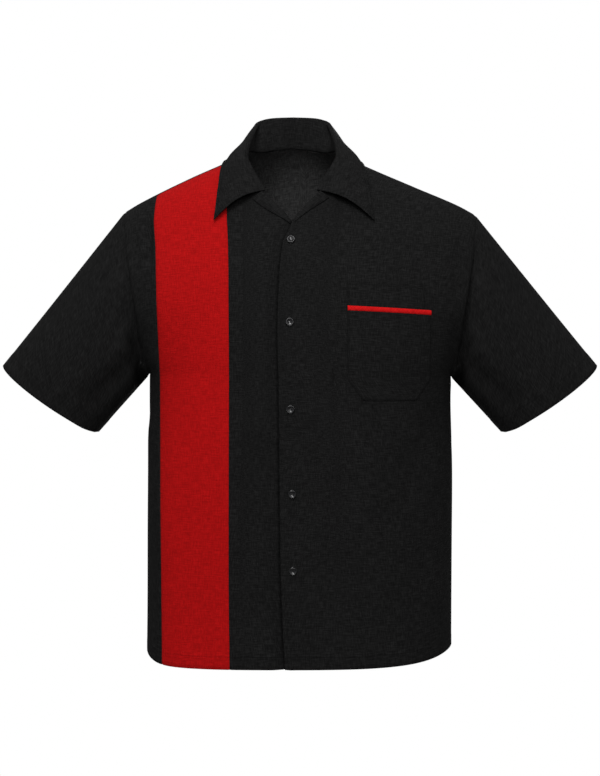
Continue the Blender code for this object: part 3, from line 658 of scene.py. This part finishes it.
def half_collar(side, rounds, tree):
    """Grid of half the collar: stand, fold and fall from the neck seam to the outer edge."""
    seam, n, way = neck_seam(side)
    seam = seam + way * (SOLID_WALL / 2 + 0.7)
    fold, edge = (np.stack([COLLAR[f"{part}_{axis}"] for axis in "xyz"], -1)
                  for part in ("fold", "edge"))
    bend = COLLAR["round"] ** 2
    fold[:, 0] = NECK_X + side * fold[:, 0] * (1 + (FOLD_REACH[side] - 1) * bend)
    edge[:, 0] = NECK_X + side * edge[:, 0] * (1 + (EDGE_REACH[side] - 1) * bend)
    fold[-1] = seam[-1] + 3.5 * way[-1] + 1.6 * n[-1]
    seam, n, fold, edge = (
        np.stack([along({"round": COLLAR["round"], "v": part[:, i]}, rounds, "v", "round")
                  for i in range(3)], -1) for part in (seam, n, fold, edge))
    puff = along(COLLAR, rounds, "puff", "round")[:, None]
    up = unit(fold - seam)
    out = unit(n - np.sum(n * up, -1, keepdims=True) * up)
    bend = (FOLD_BEND[0] + (FOLD_BEND[1] - FOLD_BEND[0]) * rounds ** 2)[:, None]
    hub = fold - bend * up
    rows = [seam + (hub - bend * out - seam) * t for t in np.linspace(0, 1, STAND_ROWS)]
    start = lifted(hub + bend * out, FALL_GAP, tree)
    raised = start - hub - bend * out
    rows += [hub + bend * (up * np.sin(t) - out * np.cos(t)) + raised * (1 - np.cos(t)) / 2
             for t in np.pi * np.arange(1, FOLD_ROWS + 1) / (FOLD_ROWS + 1)]
    middle = (start + edge) / 2 + 2 * puff * out
    arch = (LEAF_ARCH * rounds ** 6)[:, None] * np.array([0, 0, 1.0])
    for t in np.concatenate([np.linspace(0, 0.94, 22), [0.965, 0.985, 1]]):
        point = (1 - t) ** 2 * start + 2 * t * (1 - t) * middle + t * t * edge
        point = point + arch * np.sin(np.pi * t)
        held = ease(t, 0, 0.1)
        rows.append(lifted(point, (FALL_GAP + 1.5 * t) * held - 5 * (1 - held), tree))
    return np.stack(rows)


def add_collar(finishes):
    tree = body_tree()
    rounds = np.concatenate([[0, 0.012], np.linspace(0.03, 0.97, 58), [0.98, 0.99, 1]])
    right, left = (half_collar(side, rounds, tree) for side in (-1, 1))
    grid = np.concatenate([right[:, :0:-1], left], 1)
    n = grid_normals(grid)
    n = n * np.sign(-n[0, len(rounds) - 1, 1])
    across, down = walked(grid, 1), walked(grid, 0)
    round_at = np.concatenate([rounds[:0:-1], rounds])
    share = np.linspace(0, 1, STAND_ROWS)[:, None]
    recess = NECK_RECESS * bell(round_at - 0.34, 0.045) * share * (1 - share ** 4)
    grid[:STAND_ROWS] -= n[:STAND_ROWS] * recess[..., None]
    ends = np.minimum(across, across[:, -1:] - across)
    not_fall = NO_STITCH * (1 - ease(down, 30, 40))
    rows = stitched([(down[-1:] - down + not_fall, COLLAR_STITCH, across),
                     (ends + not_fall, COLLAR_STITCH, down)])
    piece = shell("collar_cloth", grid, n, COLLAR_THICK, [finishes["black"]] * 2,
                  (across - across[:, -1:] / 2, -down), rows)
    cut_piece("collar")


def front_shown(side, x, z, out):
    """A point this far out of the middle of a front's cloth, with its soft folds."""
    x, z = np.broadcast_arrays(np.asarray(x, float), np.asarray(z, float))
    inside = closure_dip(x, z) if side < 0 else 0
    return front_point(x, z, pushed(x, z, FRONT_FOLDS) - inside + out)


def add_lapel(side, finishes):
    """The turned-out top of a front's facing, rolled over the neckline's edge."""
    word = "left" if side > 0 else "right"
    z = np.linspace(LAPEL_TOP, LAPEL_FOOT, 30)
    down = np.linspace(0, 1, len(z))
    wide = along(LAPEL, down, word, "down")
    line = np.stack([along(NECKLINE, z, word, "z"), z], -1)
    run = unit(np.gradient(line, axis=0))
    across = np.stack([-run[:, 1], run[:, 0]], -1)
    across = across * np.sign(across[:, :1])
    lines = [*zip(*LAPEL_ROLL.values()),
             *((wide * share, 1.75 + 1.1 * np.sin(np.pi * share) * wide / 14)
               for share in np.linspace(0.02, 1, 12))]
    grid = []
    for reach, out in lines:
        at = line + across * (reach + 0 * down)[:, None]
        grid.append(front_shown(side, NECK_X + side * at[:, 0], at[:, 1], out))
    grid = np.stack(grid, 1)
    n = grid_normals(grid)
    n = n * np.sign(-n[0, -1, 1])
    piece = shell(f"lapel_{word}_cloth", grid, n, SHEET, [finishes["black"]] * 2,
                  (walked(grid, 1), -walked(grid, 0)), plain_stitch(grid))
    cut_piece(f"lapel_{word}")


def pocket_grid(top, foot, right, rows, columns, out):
    """A piece of the pocket between two heights."""
    z = np.asarray(rows, float)[:, None] * (foot - top) + top
    cut = np.clip(1 - (z - POCKET_FOOT) / POCKET_CORNER[1], 0, 1) * POCKET_CORNER[0]
    x = POCKET_LEFT + cut + (right - POCKET_LEFT - 2 * cut) * np.asarray(columns)
    tilt = np.clip((z - POCKET_FOOT) / (POCKET_TOP - POCKET_FOOT), 0, 1)
    return front_shown(1, x, z - POCKET_TILT * tilt * (x - POCKET_LEFT), out)


def add_pocket(finishes):
    line = BAND_FOOT - 0.3
    below = line - PIPING - 0.3
    close = np.array([0, 0.01, 0.025])
    across = np.concatenate([close, np.linspace(0.05, 0.95, 26), 1 - close[::-1]])
    for name, top, foot, right, count in (
            ("pocket_band", POCKET_TOP, BAND_FOOT, BAND_RIGHT, 9),
            ("pocket", below, POCKET_FOOT, POCKET_RIGHT, 34)):
        rows = np.concatenate([[0, 0.012], np.linspace(0.03, 0.97, count), [0.988, 1]])
        grid = pocket_grid(top, foot, right, rows, across, POCKET_OUT)
        n = normals(grid, (0, -1, 0))
        side, down = walked(grid, 1), walked(grid, 0)
        sewn = down if name == "pocket_band" else down[-1:] - down
        edges = [(away, POCKET_STITCH, place)
                 for away, place in ((side, down), (side[:, -1:] - side, down), (sewn, side))]
        to_edge = np.min([edge[0] for edge in edges], 0)
        grid = grid - n * (0.35 * bell(to_edge, 1.6))[..., None]
        piece = shell(f"{name}_cloth", grid, n, SHEET, [finishes["black"]] * 2, (side, -down),
                      stitched(edges))
        cut_piece(name)
    turn = np.linspace(0, np.pi, 9)
    rows = (1 - np.cos(turn)) / 2
    grid = pocket_grid(line, line - PIPING, POCKET_RIGHT, rows, across, 0.9)
    n = normals(grid, (0, -1, 0))
    grid = grid + n * (1.5 * np.sin(turn))[:, None, None]
    side, down = walked(grid, 1) * 0.7, walked(grid, 0) * 0.7
    piece = shell("pocket_piping_cloth", grid, normals(grid, (0, -1, 0)), SHEET,
                  [finishes["piping"]] * 2, (side + down, side - down), plain_stitch(grid))
    cut_piece("pocket_piping")


def round_turn(count):
    return np.linspace(0, 2 * np.pi, count + 1)[:-1]


def ring_faces(rings, count):
    """Faces that join rings of points in a row, and close both ends."""
    faces = [(k * count + i, k * count + (i + 1) % count, (k + 1) * count + (i + 1) % count,
              (k + 1) * count + i) for k in range(rings - 1) for i in range(count)]
    return [*faces, tuple(range(count))[::-1], tuple(range((rings - 1) * count, rings * count))]


def turned(profile, count):
    """Points and faces of a profile of (radius, height) turned round."""
    points = [(r * np.cos(a), r * np.sin(a), h) for r, h in profile for a in round_turn(count)]
    return np.array(points), ring_faces(len(profile), count)


def tube(path, radius, count=8):
    """Points and faces of a round thread along a path."""
    path = np.asarray(path, float)
    ahead = unit(np.gradient(path, axis=0))
    side = unit(np.cross(ahead, np.where(np.abs(ahead[:, 2:]) > 0.9, [1.0, 0, 0], [0, 0, 1.0])))
    up, turn = np.cross(side, ahead), round_turn(count)[:, None]
    points = path[:, None] + radius * (np.cos(turn) * side[:, None] + np.sin(turn) * up[:, None])
    return points.reshape(-1, 3), ring_faces(len(path), count)


def joined(parts):
    points, faces = [], []
    for more, sides in parts:
        faces += [tuple(i + len(points) for i in side) for side in sides]
        points += [tuple(p) for p in more]
    return np.array(points), faces


def button_mesh(plastic):
    """A four-hole button with a rounded rim and a dished face, lying on its back."""
    r, h = BUTTON_R, BUTTON_H
    rim = [(r * 0.70, 0), (r * 0.86, 0.12), (r * 0.96, 0.5), (r, 1.1), (r * 0.995, h - 0.9),
           (r * 0.97, h - 0.4), (r * 0.92, h - 0.1), (r * 0.86, h), (r * 0.79, h - 0.1),
           (r * 0.73, h - 0.45), (r * 0.66, h - 0.8), (r * 0.55, h - 1.06), (r * 0.42, h - 1.26),
           (r * 0.28, h - 1.40), (r * 0.10, h - 1.48)]
    blank = linked("button_blank", plain_mesh("button", *turned(rim, 56)))
    blank.data.materials.append(plastic)
    points, faces = turned([(EYE_R, -2), (EYE_R, 5)], 18)
    drills = linked("button_drills", plain_mesh("drills", *joined(
        [(points + np.array([sx, sy, 0]) * EYE_OFF, faces) for sx in (-1, 1) for sy in (-1, 1)])))
    cut = blank.modifiers.new("holes", "BOOLEAN")
    cut.object, cut.operation, cut.solver = drills, "DIFFERENCE", "EXACT"
    graph = bpy.context.evaluated_depsgraph_get()
    mesh = bpy.data.meshes.new_from_object(blank.evaluated_get(graph))
    for thing in (blank, drills):
        bpy.data.objects.remove(thing)
    return mesh


def thread_points():
    """Strands of thread over the button from hole to hole, as lists of points."""
    strands = []
    for sx in (-1, 1):
        for shift in (-0.22, 0.1, 0.34):
            y = np.linspace(-1.2, 1.2, 9)
            h = BUTTON_H - 1.25 + 0.75 * np.clip(1 - (y / 1.25) ** 4, 0, 1)
            strands.append(np.stack([sx * (EYE_OFF + shift) + 0 * y, y,
                                     h - 0.4 * (np.abs(y) > 1.1)], -1))
    return strands


def add_buttons(finishes):
    mesh = button_mesh(finishes["button"])
    points, faces = joined([tube(strand, 0.2) for strand in thread_points()])
    for number, (z, x, spin) in enumerate(zip(*BUTTONS.values()), 1):
        seat = front_shown(1, x, z, SOLID_WALL / 2 + 0.3)
        facing = unit(front_shown(1, x, z, 2.0) - front_shown(1, x, z, 0.0))
        across = unit(np.cross(facing, (0, 0, 1.0)))
        up = np.cross(across, facing)
        cos, sin = np.cos(np.radians(spin)), np.sin(np.radians(spin))
        turn = np.stack([up * sin - across * cos, across * sin + up * cos, facing], -1)
        placed = mesh.copy()
        placed.transform(Matrix(turn.tolist()).to_4x4())
        placed.transform(Matrix.Scale(MM, 4) @ Matrix.Translation(seat))
        button = linked(f"button_{number}_disc", placed)
        placed.polygons.foreach_set("use_smooth", np.ones(len(placed.polygons), bool))
        placed.set_sharp_from_angle(angle=np.radians(40))
        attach(button, "root")
        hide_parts(f"button_{number}")
        thread = mesh_piece(f"button_{number}_thread", points @ turn.T + seat, faces)
        thread.data.materials.append(finishes["thread"])
        add_buttonhole(number, x, z, finishes)


def add_buttonhole(number, x, z, finishes):
    """Close bars of thread round the slit that the button comes through."""
    parts = []
    for side in (-1, 1):
        for step in np.linspace(-SLIT_HALF, SLIT_HALF, 25):
            bow = 0.25 * (1 - (step / SLIT_HALF) ** 2)
            over = (0.15 + bow, 0.5), (0.5 + bow, 0.85), (1.25, 0.8), (1.6, 0.4)
            path = [front_shown(1, x + side * reach, z + step, out) for reach, out in over]
            parts.append(tube(path, 0.22, 6))
    for end in (-1, 1):
        path = [front_shown(1, x + reach, z + (SLIT_HALF + 0.4) * end, out)
                for reach, out in ((-1.7, 0.3), (-1.1, 0.9), (0, 1.0), (1.1, 0.9), (1.7, 0.3))]
        parts.append(tube(path, 0.3, 6))
    points, faces = joined(parts)
    piece = mesh_piece(f"buttonhole_{number}", points, faces)
    piece.data.materials.append(finishes["thread"])


def linear(colour):
    """An sRGB hex colour as linear red, green, blue and alpha."""
    parts = [int(colour[i:i + 2], 16) / 255 for i in (1, 3, 5)]
    return (*[c / 12.92 if c <= 0.04045 else ((c + 0.055) / 1.055) ** 2.4 for c in parts], 1.0)


def add(tree, kind, inputs=(), **settings):
    """A node with its settings, and its inputs set or linked."""
    node = tree.nodes.new(kind)
    for name, value in settings.items():
        setattr(node, name, value)
    for name, value in dict(inputs).items():
        if isinstance(value, bpy.types.NodeSocket):
            tree.links.new(value, node.inputs[name])
        else:
            node.inputs[name].default_value = value
    return node


def maths(tree, operation, *values):
    return add(tree, "ShaderNodeMath", dict(enumerate(values)), operation=operation).outputs[0]


def noise(tree, place, scale, detail, **inputs):
    """Smooth noise over flat places."""
    values = {"Vector": place, "Scale": scale, "Detail": detail, **inputs}
    return add(tree, "ShaderNodeTexNoise", values, noise_dimensions="2D").outputs["Fac"]


def ranged(tree, value, start, end, low=0.0, high=1.0, kind="LINEAR"):
    """low to high as the value goes from start to end."""
    return add(tree, "ShaderNodeMapRange",
               {"Value": value, "From Min": start, "From Max": end, "To Min": low,
                "To Max": high}, interpolation_type=kind).outputs["Result"]


def fading(tree, value, start, end):
    return ranged(tree, value, start, end, 1.0, 0.0, "SMOOTHSTEP")


def toned(tree, factor, first, *others):
    """A ramp from the first colour to the last, by way of any between."""
    ramp = add(tree, "ShaderNodeValToRGB", {"Fac": factor})
    stops = ramp.color_ramp.elements
    stops[0].color, stops[1].color = linear(first), linear(others[-1])
    for colour in others[:-1]:
        stops.new(0.5).color = linear(colour)
    return ramp.outputs["Color"]


def blank_material(name):
    material = bpy.data.materials.new(name)
    material.use_nodes = True
    return material, material.node_tree


def finished(material, colour, height, strength, distance, **values):
    """The material with its colour, its bump and its other values, named with _ for a space."""
    tree = material.node_tree
    shader = tree.nodes["Principled BSDF"]
    bump = add(tree, "ShaderNodeBump",
               {"Height": height, "Strength": strength, "Distance": distance})
    tree.links.new(colour, shader.inputs["Base Color"])
    tree.links.new(bump.outputs["Normal"], shader.inputs["Normal"])
    for name, value in values.items():
        shader.inputs[name.replace("_", " ")].default_value = value
    return material


YARN = 0.0015  # a yarn is about 0.4 mm, too fine to show, so it is drawn four times as coarse
SLUB = 0.012  # length of a thick place in a yarn
WEAVE = 0.0011  # the over-and-under of the yarns
HIGH = {"weave": 0.00003, "slub": 0.00042, "groove": -0.00022, "stitch": 0.0004, "pucker": 0.0006}
STITCH_LONG = 0.0028


def slub_weave(name, dark, middle, light, sheen, grain=1.0):
    """Polyester and cotton slub cloth, plain woven from uneven yarn: matt, with short darker and
    lighter dashes that cross, a faint nap, and pulled-in rows of stitches, their grooves darkened
    with painted shade."""
    material, tree = blank_material(name)
    place = add(tree, "ShaderNodeUVMap", uv_map="cloth").outputs["UV"]
    yarns = []
    for across, length, shift in ((YARN, SLUB, 0.0), (SLUB * 1.3, YARN, 37.0)):
        stretched = add(tree, "ShaderNodeVectorMath",
                        {0: place, 1: (1 / across, 1 / length, 1), 2: (shift, shift, 0)},
                        operation="MULTIPLY_ADD")
        yarns.append(noise(tree, stretched.outputs["Vector"], 1.0, 3.0, Roughness=0.62))
    crossed = maths(tree, "ADD", *yarns)
    uneven = maths(tree, "MULTIPLY_ADD", noise(tree, place, 16.0, 2.0), 0.12, crossed)
    colour = toned(tree, ranged(tree, uneven, 0.80, 1.32), dark, middle, light)

    stitch = add(tree, "ShaderNodeUVMap", uv_map="stitch").outputs["UV"]
    parts = add(tree, "ShaderNodeSeparateXYZ", {"Vector": stitch})
    off = maths(tree, "ABSOLUTE", parts.outputs["X"])
    groove = fading(tree, off, 0.0, 0.0016)
    shown = ranged(tree, maths(tree, "PINGPONG", parts.outputs["Y"], STITCH_LONG), 0.0004, 0.0008)
    dash = maths(tree, "MULTIPLY", fading(tree, off, 0.0002, 0.00045), shown)
    # Painted shade: along each row of stitches the colour is darkened towards the dark tone, as
    # shade in its pulled-in groove.
    painted_groove_shade = add(tree, "ShaderNodeMix", {0: maths(tree, "MULTIPLY", groove, 0.35), 6: colour,
                                         7: linear(dark)}, data_type="RGBA")

    grid = add(tree, "ShaderNodeVectorMath",
               {0: place, 1: (2 * np.pi / WEAVE, 2 * np.pi / WEAVE, 0)}, operation="MULTIPLY")
    waves = add(tree, "ShaderNodeVectorMath", {0: grid.outputs["Vector"]}, operation="SINE")
    wave = add(tree, "ShaderNodeSeparateXYZ", {"Vector": waves.outputs["Vector"]}).outputs
    drawn = maths(tree, "MULTIPLY", noise(tree, stitch, 160.0, 1.0), fading(tree, off, 0.0, 0.009))
    height = maths(tree, "MULTIPLY", maths(tree, "MULTIPLY", wave["X"], wave["Y"]), HIGH["weave"])
    for part, high in ((crossed, HIGH["slub"] * grain), (groove, HIGH["groove"]),
                       (dash, HIGH["stitch"]), (drawn, HIGH["pucker"])):
        height = maths(tree, "MULTIPLY_ADD", part, high, height)
    return finished(material, painted_groove_shade.outputs[2], height, 1.0, 1.0, Roughness=0.9,
                    Specular_IOR_Level=0.06, IOR=1.5, Sheen_Weight=sheen, Sheen_Roughness=0.55,
                    Sheen_Tint=linear(light))


def moulded_button():
    """Polyester resin, turned and polished: near black, with small sharp highlights on the rim."""
    material, tree = blank_material("polished_polyester_resin")
    swirl = add(tree, "ShaderNodeTexNoise", {"Scale": 420.0, "Detail": 3.0}).outputs["Fac"]
    return finished(material, toned(tree, swirl, "#0B0B0C", "#17171A"), swirl, 0.12, 0.0002,
                    Roughness=0.16, IOR=1.54, Coat_Weight=0.1, Coat_Roughness=0.08)


def spun_thread():
    """Spun polyester sewing thread: twisted, a little glossier than the cloth."""
    material, tree = blank_material("spun_polyester_thread")
    place = add(tree, "ShaderNodeTexCoord").outputs["Object"]
    twist = add(tree, "ShaderNodeTexWave", {"Vector": place, "Scale": 900.0, "Distortion": 1.5},
                bands_direction="DIAGONAL").outputs["Fac"]
    return finished(material, toned(tree, twist, "#0C0C0D", "#1B1B1C"), twist, 0.4, 0.0001,
                    Roughness=0.5, Sheen_Weight=0.05)


def make_finishes():
    return {
        "black": slub_weave("slub_weave_black", "#101010", "#181818", "#222222", 0.03),
        # Painted light: the black cloth's inside faces are a lighter copy of it, standing in for
        # light falling on the inside of the back.
        "black_inside": slub_weave("slub_weave_black_inside_painted_light", "#232323", "#313131", "#3F3F3F", 0.03),
        "red": slub_weave("slub_weave_red", "#9A0C0D", "#AA0E0F", "#B91213", 0.02),
        "red_inside": slub_weave("slub_weave_red_inside", "#930C0D", "#A30F10", "#B11213", 0.02),
        "piping": slub_weave("piping_cord_red", "#B21011", "#C41415", "#D61A1B", 0.02, 0.5),
        "button": moulded_button(),
        "thread": spun_thread(),
    }


LIGHTS = [  # name, place, target, size, power
    ("key", (-0.5, -2.2, 1.75), (0, 0, -0.3), 1.3, 44),
    ("front_fill", (0.2, -3.0, 0.5), (0, 0, -0.3), 1.2, 20),
    ("back", (0.3, 2.8, 0.3), (0, 0, -0.4), 1.6, 30),
]
FILL = (0.03, 0.56)  # strength from below and from above
CAMERA_AT, LENS = (0, -2.3, -0.337), 71.13
FLOOR_Z, FLOOR_R = -1.9, 1.25


def area_light(name, place, target, size, power):
    lamp = bpy.data.lights.new(name, "AREA")
    lamp.shape, lamp.size, lamp.energy = "DISK", size, power
    light = linked(name, lamp)
    light.location = place
    light.rotation_mode = "QUATERNION"
    light.rotation_quaternion = (Vector(target) - light.location).to_track_quat("-Z", "Y")


def add_world():
    """White behind the shirt, and a soft light on it that fades downwards."""
    world = bpy.data.worlds.new("studio")
    world.use_nodes = True
    tree = world.node_tree
    backdrop = tree.nodes["Background"]
    backdrop.inputs["Color"].default_value = (1, 1, 1, 1)
    backdrop.inputs["Strength"].default_value = 1.0
    way = add(tree, "ShaderNodeTexCoord").outputs["Generated"]
    up = add(tree, "ShaderNodeSeparateXYZ", {"Vector": way}).outputs["Z"]
    fill = add(tree, "ShaderNodeBackground",
               {"Color": (1, 1, 1, 1), "Strength": ranged(tree, up, -0.6, 0.7, *FILL)})
    seen = add(tree, "ShaderNodeLightPath")
    mix = add(tree, "ShaderNodeMixShader", {0: seen.outputs["Is Camera Ray"],
                                            1: fill.outputs[0], 2: backdrop.outputs[0]})
    tree.links.new(mix.outputs[0], tree.nodes["World Output"].inputs["Surface"])
    bpy.context.scene.world = world


def add_floor():
    floor = linked("floor", plain_mesh(
        "floor", [(FLOOR_R * np.cos(a), FLOOR_R * np.sin(a), FLOOR_Z) for a in round_turn(96)],
        [range(96)]))
    material, tree = blank_material("pale_floor")
    shader = tree.nodes["Principled BSDF"]
    shader.inputs["Base Color"].default_value = linear("#E9E9E7")
    shader.inputs["Roughness"].default_value = 0.8
    floor.data.materials.append(material)


def add_studio():
    bpy.context.scene.view_settings.view_transform = "Standard"
    add_world()
    for light in LIGHTS:
        area_light(*light)
    add_floor()
    lens = bpy.data.cameras.new("camera")
    lens.lens, lens.sensor_width = LENS, 36
    camera = linked("camera", lens)
    camera.location = CAMERA_AT
    camera.rotation_euler = (np.pi / 2, 0, 0)
    bpy.context.scene.camera = camera


finishes = make_finishes()
add_body(finishes)
add_collar(finishes)
add_lapel(-1, finishes)
add_lapel(1, finishes)
add_pocket(finishes)
add_buttons(finishes)
add_studio()
